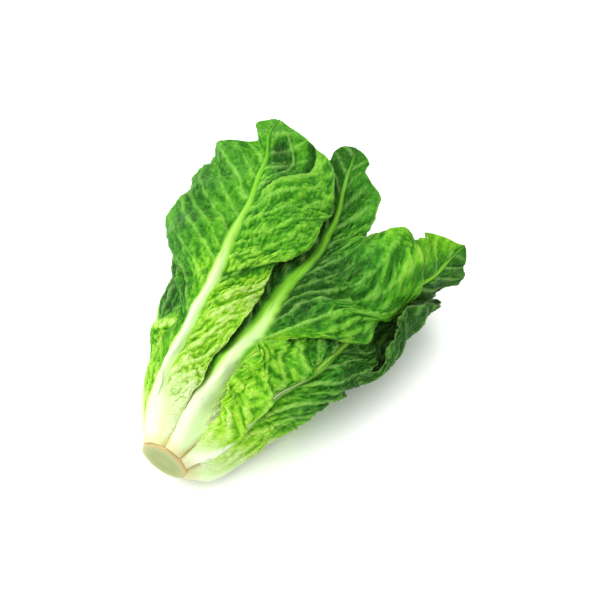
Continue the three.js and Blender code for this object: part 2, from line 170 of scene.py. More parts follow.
# One node with its settings and inputs. An input goes by its name or its place, and is a value,
# a hex colour or another node's output. It gives back the first output, or the one called out.
def addNode(tree, kind, settings=None, inputs=None, out=None):
    node = tree.nodes.new("ShaderNode" + kind)
    for name, value in (settings or {}).items():
        if name == "stops":  # the spots and colours of a ramp
            elements = node.color_ramp.elements
            while len(elements) < len(value):
                elements.new(0.5)
            for element, (spot, colour) in zip(elements, value):
                element.position = spot
                element.color = linear(colour)
        else:
            setattr(node, name, value)
    sockets = [socket for socket in node.inputs if socket.enabled]
    for name, value in (inputs or {}).items():
        socket = sockets[name] if isinstance(name, int) else next(s for s in sockets if s.name == name)
        if isinstance(value, bpy.types.NodeSocket):
            tree.links.new(value, socket)
        else:
            socket.default_value = linear(value) if isinstance(value, str) else value
    return next((s for s in node.outputs if s.enabled and out in (None, s.name)), None)


# settings of the nodes that mix two colours or join two values
mixColour = {"data_type": "RGBA"}
tint = {"data_type": "RGBA", "blend_type": "MULTIPLY"}
product = {"operation": "MULTIPLY"}
total = {"operation": "ADD"}


def newFinish(name):
    made = bpy.data.materials.new(name)
    made.use_nodes = True
    made.node_tree.nodes.clear()
    return made, made.node_tree


# Fresh lettuce leaf: thin wet tissue under a faint wax, so it has a broad soft shine with small
# glints, lets some light through, and goes from white at the stalk to deep green at the tip.
# Shade in its hollows and highlights on its puckers are also painted into its colour.
leafPaint = {
    "blade": [(0.0, "#e4efd0"), (0.14, "#cbe595"), (0.3, "#a6d838"), (0.45, "#86c81a"),
              (0.62, "#5fae16"), (0.8, "#3f9016")],
    "rib": [(0.0, "#e6f0d8"), (0.1, "#cfe4b0"), (0.3, "#acd46a"), (0.5, "#7fbd2a"),
            (0.75, "#7cb944"), (1.0, "#62a62e")],
    # the hollow colour is the tint of the painted shade in the leaf's hollows
    "pale": "#d3ec9c", "hollowShade": "#8fc050", "dried": "#cdb57a", "glow": "#eaf88c",
    "netShows": 0.14, "veinShows": 0.6, "edgeShows": 0.45, "driedShows": 0.55,
    "roughness": 0.37, "ior": 1.31, "letsThrough": 0.14, "pucker": 0.0022,
}


# 6 mm blotches of random tone, painted shade in the hollows and painted light on the tops, which the white
# end of the leaf hardly shows
def leafTone(tree, sheet, grown):
    mottle = addNode(tree, "TexNoise", None, {
        "Vector": sheet, "Scale": 18.0, "Detail": 5.0, "Roughness": 0.65})
    shift = addNode(tree, "MapRange", None, {
        "Value": mottle, "From Min": 0.3, "From Max": 0.7, "To Min": -0.08, "To Max": 0.08})
    # painted shade and light: low places of the relief turn darker green, high places paler
    hollowShade = addNode(tree, "MapRange", None, {"Value": grown["relief"], "To Min": 0.14, "To Max": -0.14})
    # random mottle plus that painted shade and light
    uneven = addNode(tree, "Math", total, {0: shift, 1: hollowShade})
    greenShare = addNode(tree, "MapRange", None, {"Value": grown["green"], "From Max": 0.3, "To Min": 0.15})
    change = addNode(tree, "Math", product, {0: uneven, 1: greenShare})
    return addNode(tree, "Math", {"operation": "ADD", "use_clamp": True}, {0: grown["green"], 1: change})


# The blade with its pale veins, painted shade in the hollows, painted highlights on the tops and on fine
# specks, and a pale edge
def bladeColour(tree, grown, netLine, grain, blade):
    paint = leafPaint
    pale = addNode(tree, "Mix", mixColour, {0: 0.5, 1: blade, 2: paint["pale"]})
    netShare = addNode(tree, "Math", product, {0: netLine, 1: paint["netShows"]})
    colour = addNode(tree, "Mix", mixColour, {0: netShare, 1: blade, 2: pale})
    veinShare = addNode(tree, "Math", product, {0: grown["vein"], 1: paint["veinShows"]})
    colour = addNode(tree, "Mix", mixColour, {0: veinShare, 1: colour, 2: pale})
    # painted shade: the low places of the relief are tinted darker
    hollowShadeShare = addNode(tree, "MapRange", None, {
        "Value": grown["relief"], "From Min": 0.05, "From Max": 0.5, "To Min": 0.55, "To Max": 0.0})
    hollowShaded = addNode(tree, "Mix", tint, {0: 1.0, 1: colour, 2: paint["hollowShade"]})
    colour = addNode(tree, "Mix", mixColour, {0: hollowShadeShare, 1: colour, 2: hollowShaded})
    # painted highlights: the high places of the relief and the high specks of the pucker grain are mixed
    # towards pale
    top = addNode(tree, "MapRange", None, {"Value": grown["relief"], "From Min": 0.62, "To Max": 0.3})
    lit = addNode(tree, "MapRange", None, {
        "Value": grain, "From Min": 0.52, "From Max": 0.75, "To Max": 0.3})
    highlightShare = addNode(tree, "Math", total, {0: top, 1: lit})
    colour = addNode(tree, "Mix", mixColour, {0: highlightShare, 1: colour, 2: pale})
    edgeShare = addNode(tree, "Math", product, {0: grown["edge"], 1: paint["edgeShows"]})
    return addNode(tree, "Mix", mixColour, {0: edgeShare, 1: colour, 2: pale})


# Puckers and net as relief, strong on the blade and faint on the smooth rib
def leafRelief(tree, grown, netLine, grain):
    netHeight = addNode(tree, "Math", product, {0: netLine, 1: 0.25})
    height = addNode(tree, "Math", total, {0: netHeight, 1: grain})
    bladeShare = addNode(tree, "Math", {"operation": "SUBTRACT", "use_clamp": True}, {
        0: 1.0, 1: grown["stalk"]})
    strength = addNode(tree, "Math", {"operation": "MULTIPLY_ADD"}, {0: bladeShare, 1: 0.7, 2: 0.08})
    return addNode(tree, "Bump", None, {
        "Distance": leafPaint["pucker"], "Height": height, "Strength": strength})


def makeLeafFinish(name, deepest):
    paint = leafPaint
    finish, tree = newFinish(name)
    sheet = addNode(tree, "UVMap", {"uv_map": "leafMap"})
    grown = {entry: addNode(tree, "Attribute", {"attribute_name": entry}, out="Fac")
             for entry in ("green", "relief", "stalk", "stalkGreen", "vein", "edge", "root")}
    net = addNode(tree, "TexVoronoi", {"feature": "DISTANCE_TO_EDGE"}, {"Vector": sheet, "Scale": 36.0})
    netLine = addNode(tree, "MapRange", None, {  # a net of fine veins 3 mm apart
        "Value": net, "From Max": 0.14, "To Min": 1.0, "To Max": 0.0})
    grain = addNode(tree, "TexNoise", None, {  # 2.4 mm puckers
        "Vector": sheet, "Scale": 42.0, "Detail": 4.0, "Roughness": 0.7})
    tone = leafTone(tree, sheet, grown)
    blade = addNode(tree, "ValToRGB", {"stops": paint["blade"] + [(1.0, deepest)]}, {0: tone})
    colour = bladeColour(tree, grown, netLine, grain, blade)

    # the rib over it all, and the tan, drying skin where leaves meet at the cut
    rib = addNode(tree, "ValToRGB", {"stops": paint["rib"]}, {0: grown["stalkGreen"]})
    colour = addNode(tree, "Mix", mixColour, {0: grown["stalk"], 1: colour, 2: rib})
    driedShare = addNode(tree, "Math", product, {0: grown["root"], 1: paint["driedShows"]})
    colour = addNode(tree, "Mix", mixColour, {0: driedShare, 1: colour, 2: paint["dried"]})
    bump = leafRelief(tree, grown, netLine, grain)
    body = addNode(tree, "BsdfPrincipled", None, {
        "Base Color": colour, "Roughness": paint["roughness"], "IOR": paint["ior"], "Normal": bump,
        "Subsurface Weight": 0.08, "Subsurface Scale": 0.0015, "Subsurface Radius": (0.6, 1.0, 0.2)})
    glow = addNode(tree, "Mix", tint, {0: 1.0, 1: colour, 2: paint["glow"]})
    through = addNode(tree, "BsdfTranslucent", None, {"Color": glow, "Normal": bump})
    both = addNode(tree, "MixShader", None, {0: paint["letsThrough"], 1: body, 2: through})
    addNode(tree, "OutputMaterial", None, {"Surface": both})
    return finish


freshLeaf = makeLeafFinish("fresh green lettuce leaf", "#1d6408")
paleLeaf = makeLeafFinish("pale inner lettuce leaf", "#4f9a2a")


# What every leaf looks like unless its own look says otherwise, in millimetres.
# Rows start with the share of length. crinkle, fold, bulge, tuck and stretch rows then give the
# low side and the high side. green rows give how green the blade is beside the rib, at the low
# margin and at the high one: 0 white, 0.4 yellow-green, 1 deep green. stalkGreen is that of the
# rib, stalkWidth half the rib's width. shades are painted shade in recesses and hollows, and a
# few paler places: share of length, s, reach of both and amount. tuck pulls the margins in,
# stretch moves them on by degrees. steps are folds, with a painted shadow below them: side,
# share of length at the rib and at the margin, height. strayVeins are lines of share of length and s.
leafLook = {
    "seed": 1, "blade": 0.75, "edge": 0.45, "ribHeight": 1.0, "rootBack": 1.6, "ribFade": 0.98,
    "stalkWidth": [[0, 8], [0.07, 10.5], [0.15, 11], [0.3, 8.5], [0.5, 5.6], [0.7, 3.4], [0.85, 2.2],
                   [1, 1.4]],
    "frill": [[0, 1], [1, 1]], "frillLength": 15, "frillReach": 16,
    "tooth": 0.8, "toothLength": 6.5, "bulge": [[0, 0, 0], [1, 0, 0]], "tuck": [[0, 0, 0], [1, 0, 0]],
    "stretch": [[0, 0, 0], [1, 0, 0]], "steps": [], "strayVeins": [], "stalkShade": 0.0,
    "veinSpacing": 17, "veinHeight": 0.6, "sweepLow": 1.7, "sweepHigh": 0.6,
    "blister": 6.5, "blisterDepth": 0.9, "fold": [[0, 0, 0], [0.2, 0.8, 0.8], [0.8, 1, 1], [1, 0.5, 0.5]],
    "crinkle": [[0, 0, 0], [0.1, 0.1, 0.1], [0.2, 0.8, 0.8], [0.6, 0.9, 0.9], [1, 0.6, 0.6]],
    "green": [[0, 0.03, 0.05, 0.05], [0.12, 0.08, 0.25, 0.25], [0.25, 0.3, 0.45, 0.45],
              [0.5, 0.6, 0.7, 0.7], [0.75, 0.75, 0.8, 0.8], [1, 0.85, 0.85, 0.85]],
    "stalkGreen": [[0, 0.02], [0.35, 0.08], [0.55, 0.3], [0.8, 0.5], [1, 0.7]],
    "shades": [],
}


def onSide(rows, s, t):  # what the rows say for the low side or for the high side
    return np.where(s < 0, along(rows, 1, t), along(rows, 2, t))


def leafGrid(leaf):  # a flat grid, with its points sorted from root to tip and across
    rows, columns = leaf["grid"]
    bm = bmesh.new()
    bmesh.ops.create_grid(bm, x_segments=rows, y_segments=columns, size=1)
    mesh = bpy.data.meshes.new(leaf["name"] + "_leaf")
    bm.to_mesh(mesh)
    bm.free()
    spots = np.empty(len(mesh.vertices) * 3)
    mesh.vertices.foreach_get("co", spots)
    spots = spots.reshape(-1, 3)
    order = np.lexsort((np.round(spots[:, 1], 6), np.round(spots[:, 0], 6)))
    u = (spots[order, 0].reshape(rows + 1, columns + 1) + 1) / 2
    s = spots[order, 1].reshape(rows + 1, columns + 1)
    return mesh, order, u * (0.85 + 0.15 * u), s  # rows stand closer at the root


# What is known of each point of the sheet: t and s are shares, e the share away from the rib;
# far and away are millimetres along and across the leaf, gone from the rib, inset from the
# margin and half from rib to margin; ribOff is 0 on the rib and 1 beside it, clear 0 to 1 there.
def measured(look, place, t, s):
    middle = s.shape[1] // 2
    stepsAlong = np.linalg.norm(np.diff(place[:, middle], axis=0), axis=1)
    stepsAcross = np.linalg.norm(np.diff(place, axis=1), axis=2)
    far = np.concatenate([[0], np.cumsum(stepsAlong)])[:, None] * np.ones(s.shape)
    walked = np.concatenate([np.zeros((len(s), 1)), np.cumsum(stepsAcross, axis=1)], axis=1)
    away = walked - walked[:, middle:middle + 1]
    half = np.abs(np.where(s < 0, -away[:, :1], away[:, -1:]))
    gone = np.abs(away)
    ribWide = along(look["stalkWidth"], 1, t)
    return SimpleNamespace(
        t=t, s=s, e=np.abs(s), side=np.sign(s), far=far, away=away, half=half, gone=gone,
        inset=half - gone, ribWide=ribWide, ribOff=np.clip(gone / ribWide, 0, 1),
        clear=smoothStep(0.6, 1.5, gone / ribWide))


def shapeMargins(look, m, turn, out, fade):
    seed = look["seed"]
    # near the root the margins curl in against the next leaf
    out = out - onSide(look["tuck"], m.s, m.t) * m.e ** 2
    turn = turn + m.side * m.e ** 2 * onSide(look["stretch"], m.s, m.t)

    # where the blade bulges over its own rib
    bulge = onSide(look["bulge"], m.s, m.t) * np.sin(np.pi * np.clip(m.e / 0.7, 0, 1)) ** 2
    bulge = bulge * (0.75 + 0.5 * drift(m.far / 9, 4 * m.side, seed + 21))
    out = out + bulge
    turn = turn - m.side * np.degrees(0.8 * bulge / np.maximum(out, 12))

    # frill: long waves of the outer part of the blade
    wave = m.far / look["frillLength"] + 0.8 * drift(m.far / 23, 7 * m.side, seed + 1)
    frill = np.sin(2 * np.pi * wave) + 0.55 * np.sin(4.6 * np.pi * wave + 1.1)
    frill = frill * along(look["frill"], 1, m.t)
    frillFade = fade * smoothStep(look["frillReach"], 0, m.inset) ** 1.4
    out = out + frillFade * frill * (0.7 + 0.5 * drift(m.far / 37, 3 * m.side, seed + 2))

    # teeth: a slow rise and a quick fall along the last millimetres, none at the tip
    saw = m.far / look["toothLength"] + 0.6 * drift(m.far / 11, 5 * m.side, seed + 3)
    saw = saw - np.floor(saw)
    tooth = look["tooth"] * (np.where(saw < 0.72, saw / 0.72, (1 - saw) / 0.28) - 0.45)
    tooth = tooth * (0.4 + 0.9 * hashed(np.floor(m.far / 9), m.side, seed + 4))
    tooth = tooth + 0.8 * drift(m.far / 6.5, m.side, seed + 5)
    toothFade = fade * smoothStep(4.5, 0, m.inset) * smoothStep(0.85, 0.5, m.t)
    turn = turn + m.side * np.degrees(toothFade * tooth / np.maximum(out, 12))
    return turn, out


# Veins run out from the rib, bend towards the tip and wander a little. Start is where on the
# rib the vein through a point begins.
def growVeins(look, m):
    seed = look["seed"]
    m.strayA = (3.2 * drift(m.far / 21, m.away / 21, seed + 31)
                + 1.3 * drift(m.far / 8, m.away / 8, seed + 32))
    m.strayB = (3.2 * drift(m.far / 19 + 40, m.away / 23, seed + 33)
                + 1.3 * drift(m.far / 8, m.away / 8 + 30, seed + 34))
    sweep = mix(look["sweepLow"], look["sweepHigh"], smoothStep(0.05, 0.6, m.t))
    m.start = m.far + m.strayA * smoothStep(0, 14, m.gone) - sweep * m.gone * (1 - 0.0035 * m.gone)
    spacing = look["veinSpacing"] * mix(0.6, 1, smoothStep(0.0, 0.45, m.t))
    m.phase = m.start / spacing + 0.3 * drift(m.start / 31, m.side * 3, seed + 6) + 0.25 * m.side
    number = np.round(m.phase)
    m.own = hashed(number, m.side, seed + 35)
    m.reachOut = smoothStep(1.0, 0.5 + 0.3 * m.own, m.e)
    offVein = np.abs(m.phase - number) * spacing / np.sqrt(1 + sweep * sweep)
    wide = mix(0.6, 2.0, np.exp(-m.gone / 15))
    m.vein = np.exp(-(offVein / wide) ** 2) * m.clear * m.reachOut * (0.45 + 0.55 * m.own)
    finePhase = (m.start + 0.9 * m.gone + m.strayB) / (spacing / 2.6)
    finePhase = finePhase + 0.5 * drift(m.far / 13, m.away / 13, seed + 7)
    offFine = np.abs(finePhase - np.round(finePhase)) * spacing / 2.6
    fine = np.exp(-(offFine / 0.75) ** 2) * m.clear * smoothStep(4, 15, m.gone)
    m.fine = np.clip(fine * (0.4 + 0.6 * drift(m.far / 6, m.away / 6, seed + 36)), 0, 1)


# Crumple: creased pillows between the finest veins, longer along the side veins, and a fine
# roughness over them. Folds follow the side veins, and a groove lies beside the rib.
def crumple(look, m, fade):
    seed = look["seed"]
    p = (m.start + m.strayB) / look["blister"]
    q = (m.gone + m.strayA) / (look["blister"] * 1.5) + 40 * m.side
    edge, own = cells(p, q, seed + 10)
    pillow = (1 - np.exp(-3.2 * edge)) * np.where(own < 0.6, -0.5 - 0.7 * own, 0.4 + 0.4 * own)
    crease = 0.6 - 2.4 * np.abs(drift(p * 0.8, q * 0.8, seed + 8))
    smallEdge, smallOwn = cells(p * 2.1 + 11, q * 2.4 + 7, seed + 12)
    small = ((1 - np.exp(-3 * smallEdge)) * (smallOwn - 0.55)
             + 0.5 * (0.5 - 2 * np.abs(drift(p * 2, q * 2.3, seed + 9))))
    roughA, roughB = m.far / 3.4 + m.strayB * 0.2, m.away / 3.1 + m.strayA * 0.2
    rough = (0.55 - 2.1 * np.abs(drift(roughA, roughB, seed + 51))
             + 0.8 * drift(m.far / 7.5, m.away / 6.5, seed + 52)
             + 0.45 - 1.4 * np.abs(drift(roughA * 1.9, roughB * 1.9, seed + 53)))
    crinkle = onSide(look["crinkle"], m.s, m.t) * fade ** 0.5
    crinkle = crinkle * smoothStep(0.8, 1.7, m.gone / m.ribWide)
    crinkle = crinkle * (0.8 + 0.3 * drift(m.far / 27, m.away / 27, seed + 37))
    ridge = 0.64 - np.abs(np.sin(np.pi * m.phase)) ** 0.8
    fold = onSide(look["fold"], m.s, m.t) * fade * m.clear * ridge
    groove = np.exp(-((m.gone - 1.3 * m.ribWide) / (0.3 * m.ribWide + 0.7)) ** 2)
    return (look["veinHeight"] * m.vein + 0.25 * m.fine - 0.5 * groove * smoothStep(0.03, 0.2, m.t)
            + crinkle * look["blisterDepth"] * (0.4 * pillow + 0.5 * crease + 0.45 * small + 0.5 * rough)
            + fold * smoothStep(0, 16, m.gone) * m.reachOut * (0.6 + 0.6 * m.own))


# Places where one part of the blade lies over another, with a painted shadow on the lower side, and veins
# that go their own way.
def stepsAndStrays(look, m, lift):
    m.shadow = 0 * m.t
    for way, atRib, atMargin, height in look["steps"]:
        past = m.t - mix(atRib, atMargin, m.e) - 0.008 * drift(m.away / 7, 0 * m.t, look["seed"] + 61)
        here = (m.s * way > 0) * smoothStep(0.08, 0.25, m.e)
        lift = lift + here * height * np.tanh(past / 0.006) * np.exp(-(past / 0.045) ** 2)
        # painted shadow on the lower side of the fold
        m.shadow = m.shadow + here * np.exp(-np.abs(past) / 0.02) * (past * height < 0)
    for path in look["strayVeins"]:
        stations, places = zip(*path)
        offLine = (m.s - np.interp(m.t, stations, places)) * m.half
        line = np.exp(-(offLine / 0.9) ** 2) * smoothStep(stations[0] - 0.02, stations[0] + 0.02, m.t)
        line = line * smoothStep(stations[-1] + 0.02, stations[-1] - 0.02, m.t)
        lift = lift + 0.5 * line
        m.vein = np.maximum(m.vein, 1.2 * line)
    return lift


def raised(place, outside, lift):  # the sheet with its relief along its own outward normals
    normal = np.cross(np.gradient(place, axis=1), np.gradient(place, axis=0))
    normal /= np.maximum(np.linalg.norm(normal, axis=2, keepdims=True), 1e-9)
    normal = normal * np.sign(np.sum(normal * (outside - place), axis=2).mean())
    return place + normal * lift[..., None]


def thicknessOf(look, m):  # millimetres: a thick rib, a thin blade, a thinner edge
    rib = follow(head["ribAt"], head["ribThickness"], m.t) * look["ribHeight"]
    blade = mix(2.4, look["blade"], smoothStep(0, 0.25, m.t))
    blade = mix(look["edge"], blade, smoothStep(0, 3.5, m.inset))
    return blade + rib * np.cos(np.pi / 2 * m.ribOff) ** 2


def coloursOf(look, m, lift):  # the values that the leaf finish reads, from 0 to 1
    seed = look["seed"]
    margins = np.where(m.s < 0, along(look["green"], 2, m.t), along(look["green"], 3, m.t))
    green = mix(along(look["green"], 1, m.t), margins, smoothStep(0.05, 0.75, m.e))
    green = green + 0.06 * drift(m.far / 24, m.away / 19, seed + 15)
    green = green + 0.04 * drift(m.far / 7, m.away / 7, seed + 16)
    # painted shade in recesses and hollows, and a few paler places
    for spotT, spotS, reachT, reachS, amount in look["shades"]:
        green = green + amount * np.exp(-((m.t - spotT) / reachT) ** 2 - ((m.s - spotS) / reachS) ** 2)
    # painted shadow below the folds
    green = green + 0.35 * np.clip(m.shadow, 0, 1)
    ragged = 0.16 * drift(m.far / 5, m.away / 5, seed + 38) * smoothStep(0.08, 0.2, m.t)
    stalk = smoothStep(look["ribFade"] + 0.1, look["ribFade"] - 0.08, m.t)
    stalk = stalk * smoothStep(1.3, 0.6, m.gone / m.ribWide + ragged)
    # the rib's sides are greener than its middle; stalkShade adds painted shade on its low flank
    flank = 0.16 + look["stalkShade"] * (m.s < 0) * smoothStep(0.1, 0.25, m.t)
    stalkGreen = along(look["stalkGreen"], 1, m.t) + flank * m.ribOff ** 2
    stalkGreen = stalkGreen + 0.03 * drift(m.far / 30, m.away / 2.5, seed + 39)
    # relief: how far each point stands above or sinks below its neighbours, from which the finish paints
    # shade into low places and highlights onto high ones
    near, wide = lift - blurred(lift, 3), blurred(lift, 2) - blurred(lift, 9)
    relief = 0.5 + 0.4 * np.clip(near / 0.6, -1, 1) + 0.12 * np.clip(wide / 0.9, -1, 1)
    meeting = smoothStep(0.17, 0.05, m.t) * smoothStep(2.2, 0.3, m.inset) * smoothStep(0.0, 0.02, m.t)
    return {
        "green": np.clip(green, 0, 1), "stalk": stalk, "stalkGreen": np.clip(stalkGreen, 0, 1),
        "vein": np.clip(m.vein * (0.35 + 0.65 * np.exp(-m.gone / 18)) + 0.35 * m.fine, 0, 1),
        "edge": smoothStep(1.5, 0.2, m.inset) * smoothStep(0.03, 0.1, m.t),
        "relief": np.clip(mix(0.5, relief, m.clear), 0, 1),
        "root": meeting + smoothStep(0.03, 0.0, m.t),
    }


def turnOutwards(mesh):  # the grid's faces look away from the core
    mid = mesh.polygons[len(mesh.polygons) // 2]
    centre = np.array(mid.center[:]) * 1000 + np.array(head["middle"])
    core = np.array([centre[0], 0, float(follow(head["x"], head["coreHeight"], centre[0]))])
    if np.dot(np.array(mid.normal[:]), centre - core) < 0:
        mesh.flip_normals()


def giveThickness(piece, thick, order):  # shares of the thickest spot, read by Solidify
    group = piece.vertex_groups.new(name="thickness")
    share = np.empty(len(order))
    share[order] = (thick / thick.max()).ravel()
    for i, weight in enumerate(share):
        group.add([i], float(weight), "REPLACE")
    shell = piece.modifiers.new("shell", "SOLIDIFY")
    shell.thickness = thick.max() / 1000
    shell.offset = 0.3
    shell.vertex_group = "thickness"
    shell.use_rim = True


def growLeaf(leaf):
    look = {**leafLook, **leaf["look"]}
    mesh, order, t, s = leafGrid(leaf)
    x, turn, out, fade = leafSheet(leaf, t, s)
    x = x - look["rootBack"] * smoothStep(0.03, 0, t)  # the root closes up against the cut
    m = measured(look, layDown(x, turn, out), t, s)
    turn, out = shapeMargins(look, m, turn, out, fade)
    growVeins(look, m)
    lift = stepsAndStrays(look, m, crumple(look, m, fade))
    place = raised(layDown(x, turn, out), layDown(x, turn, out + 0.5), lift)
    thick = thicknessOf(look, m)

    points = (place - np.array(head["middle"])) / 1000
    points[..., 2] = np.maximum(points[..., 2], 0.0004 + 0.00066 * thick)  # nothing dips into the floor
    spots = np.empty((len(order), 3))
    spots[order] = points.reshape(-1, 3)
    mesh.vertices.foreach_set("co", spots.ravel())
    for name, value in coloursOf(look, m, lift).items():
        held = np.empty(len(order))
        held[order] = value.ravel()
        mesh.attributes.new(name, "FLOAT", "POINT").data.foreach_set("value", held)
    leafMap = mesh.uv_layers.new(name="leafMap")  # one unit is 100 mm of leaf
    corners = np.empty(len(mesh.loops), dtype=int)
    mesh.loops.foreach_get("vertex_index", corners)
    sheet = np.empty((len(order), 2))
    sheet[order] = np.stack([m.far, m.away + 150], -1).reshape(-1, 2) / 100
    leafMap.data.foreach_set("uv", sheet[corners].ravel())

    piece = bpy.data.objects.new(leaf["name"] + "_leaf", mesh)
    scene.collection.objects.link(piece)
    mesh.update()
    turnOutwards(mesh)
    giveThickness(piece, thick, order)
    mesh.shade_smooth()
    mesh.materials.append(leaf["finish"])
    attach(piece, "root")
    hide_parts(leaf["name"])


# The leaves that show. rib rows give the share of length, turn and out; low and high rows give
# the share of length, x, turn and out of that margin and how far the blade bows out beside it.
topLeftLeaf = {
    "name": "leaf_top_left", "to": 252,
    "rib": [[0, -40, rootOut], [0.05, -42, 21], [0.13, -35, 33], [0.21, -30.5, 41.5], [0.34, -27.5, 49.5],
        [0.42, -22.5, 54.5], [0.5, -20.5, 58.6], [0.58, -23.5, 61], [0.66, -27.5, 63.2], [0.75, -26, 65],
        [0.82, -28, 65.5], [0.9, -32, 66], [1, -38, 67]],
    "low": [[0, rootX, -72, rootOut, 0], [0.07, 24, -53, 30, 0], [0.13, 42, -46, 37, 0],
        [0.2, 62, -42.5, 44, 0], [0.3, 88, -43, 51, 0], [0.36, 103, -48, 55, 1], [0.41, 117, -59, 58, 2],
        [0.46, 133, -71, 61, 3], [0.53, 153, -79, 66, 3], [0.61, 182, -82, 67, 2], [0.7, 206, -80, 69, 1],
        [0.75, 217, -75, 70, 0], [0.79, 222, -65, 70, 0], [0.83, 222, -54, 69, 0],
        [0.86, 221.5, -44, 68, 0], [0.885, 225, -38, 68, 0], [0.91, 231, -39.5, 68, 0],
        [0.95, 240, -43.5, 68, 0], [1, 250, -42, 67, 0]],
    "high": [[0, rootX, 1, rootOut, 0], [0.06, 20, 0.5, 25.3, 0], [0.1, 33, -3, 29, 0],
        [0.16, 50, 1, 32.3, 0], [0.25, 78, 1, 37, 0], [0.38, 118, 3.5, 44, 1], [0.46, 137, 5, 48.5, 3],
        [0.54, 160, 11, 53, 6], [0.63, 186, 11, 55, 7], [0.72, 207, 9, 56, 7], [0.77, 220, 5, 57, 5],
        [0.82, 232, -1, 57, -4], [0.86, 239, -8, 58, -5], [0.89, 239.5, -13, 60, -4],
        [0.94, 243, -19, 62.5, -2], [1, 250, -33, 66, 0]],
    "ruffle": 2.6, "ruffles": 6.5, "ruffleStart": 0.15, "pleat": 1.6, "pleats": 9, "pleatStart": 0.4,
    "lobe": 0.04, "lobes": 7.3,
    "grid": (215, 150), "slot": "green_leaf", "finish": freshLeaf,
    "look": {
        "seed": 3, "frill": [[0, 1], [0.3, 1.6], [0.5, 1.2], [0.7, 0.5], [1, 0.4]], "tooth": 0.45,
        "blister": 5.5, "blisterDepth": 1.1,
        "stalkWidth": [[0, 12], [0.06, 11], [0.12, 6.6], [0.2, 5], [0.35, 4.6], [0.5, 4], [0.65, 2.8],
            [0.8, 1.6], [1, 0.8]],
        "ribFade": 0.86,
        "stretch": [[0, 0, 2.5], [0.08, 0, 3], [0.16, 0, 1], [0.22, 0, 0], [0.3, 0, 1.5], [0.44, 0, 1.5],
            [0.5, 0, 0], [1, 0, 0]],
        "tuck": [[0, 0, 0], [0.04, 0, 1.5], [0.1, 0, 2.5], [0.14, 0, 1], [0.2, 0, 0], [1, 0, 0]],
        "bulge": [[0, 0, 0], [0.08, 0, 0], [0.13, 0, 2], [0.3, 0, 2.4], [0.42, 0, 0.5], [1, 0, 0]],
        "fold": [[0, 0, 0], [0.12, 0, 0.3], [0.25, 0.4, 0.6], [0.45, 0.7, 0.6], [0.7, 0.6, 0.5],
            [1, 0.3, 0.3]],
        "crinkle": [[0, 0, 0], [0.07, 0.1, 0.1], [0.12, 0.4, 1], [0.2, 0.7, 1.4], [0.45, 0.8, 1.4],
            [0.6, 0.7, 1.3], [0.8, 0.7, 0.9], [1, 0.5, 0.5]],
        "green": [[0, 0.04, 0.08, 0.05], [0.08, 0.07, 0.3, 0.1], [0.14, 0.16, 0.45, 0.18],
            [0.2, 0.28, 0.6, 0.29], [0.3, 0.42, 0.72, 0.34], [0.42, 0.5, 0.74, 0.4],
            [0.455, 0.54, 0.74, 0.45], [0.49, 0.56, 0.74, 0.66], [0.65, 0.64, 0.74, 0.72],
            [0.8, 0.66, 0.74, 0.66], [1, 0.66, 0.66, 0.66]],
        "stalkGreen": [[0, 0.03], [0.3, 0.05], [0.42, 0.12], [0.55, 0.28], [0.75, 0.45], [1, 0.7]],
        "steps": [[1, 0.685, 0.885, -2.2], [1, 0.44, 0.5, 1.3]],
        "strayVeins": [[[0.74, 0.1], [0.78, 0.22], [0.84, 0.42], [0.89, 0.5], [0.94, 0.5]]],
        "shades": [[0.4, 0.75, 0.1, 0.4, -0.1], [0.86, 0.26, 0.06, 0.2, 0.5], [0.36, -0.55, 0.07, 0.3, 0.2],
            [0.55, -0.5, 0.12, 0.25, 0.12], [0.68, -0.75, 0.06, 0.2, 0.15]],
    },
}
growLeaf(topLeftLeaf)
print("grown: leaf_top_left")


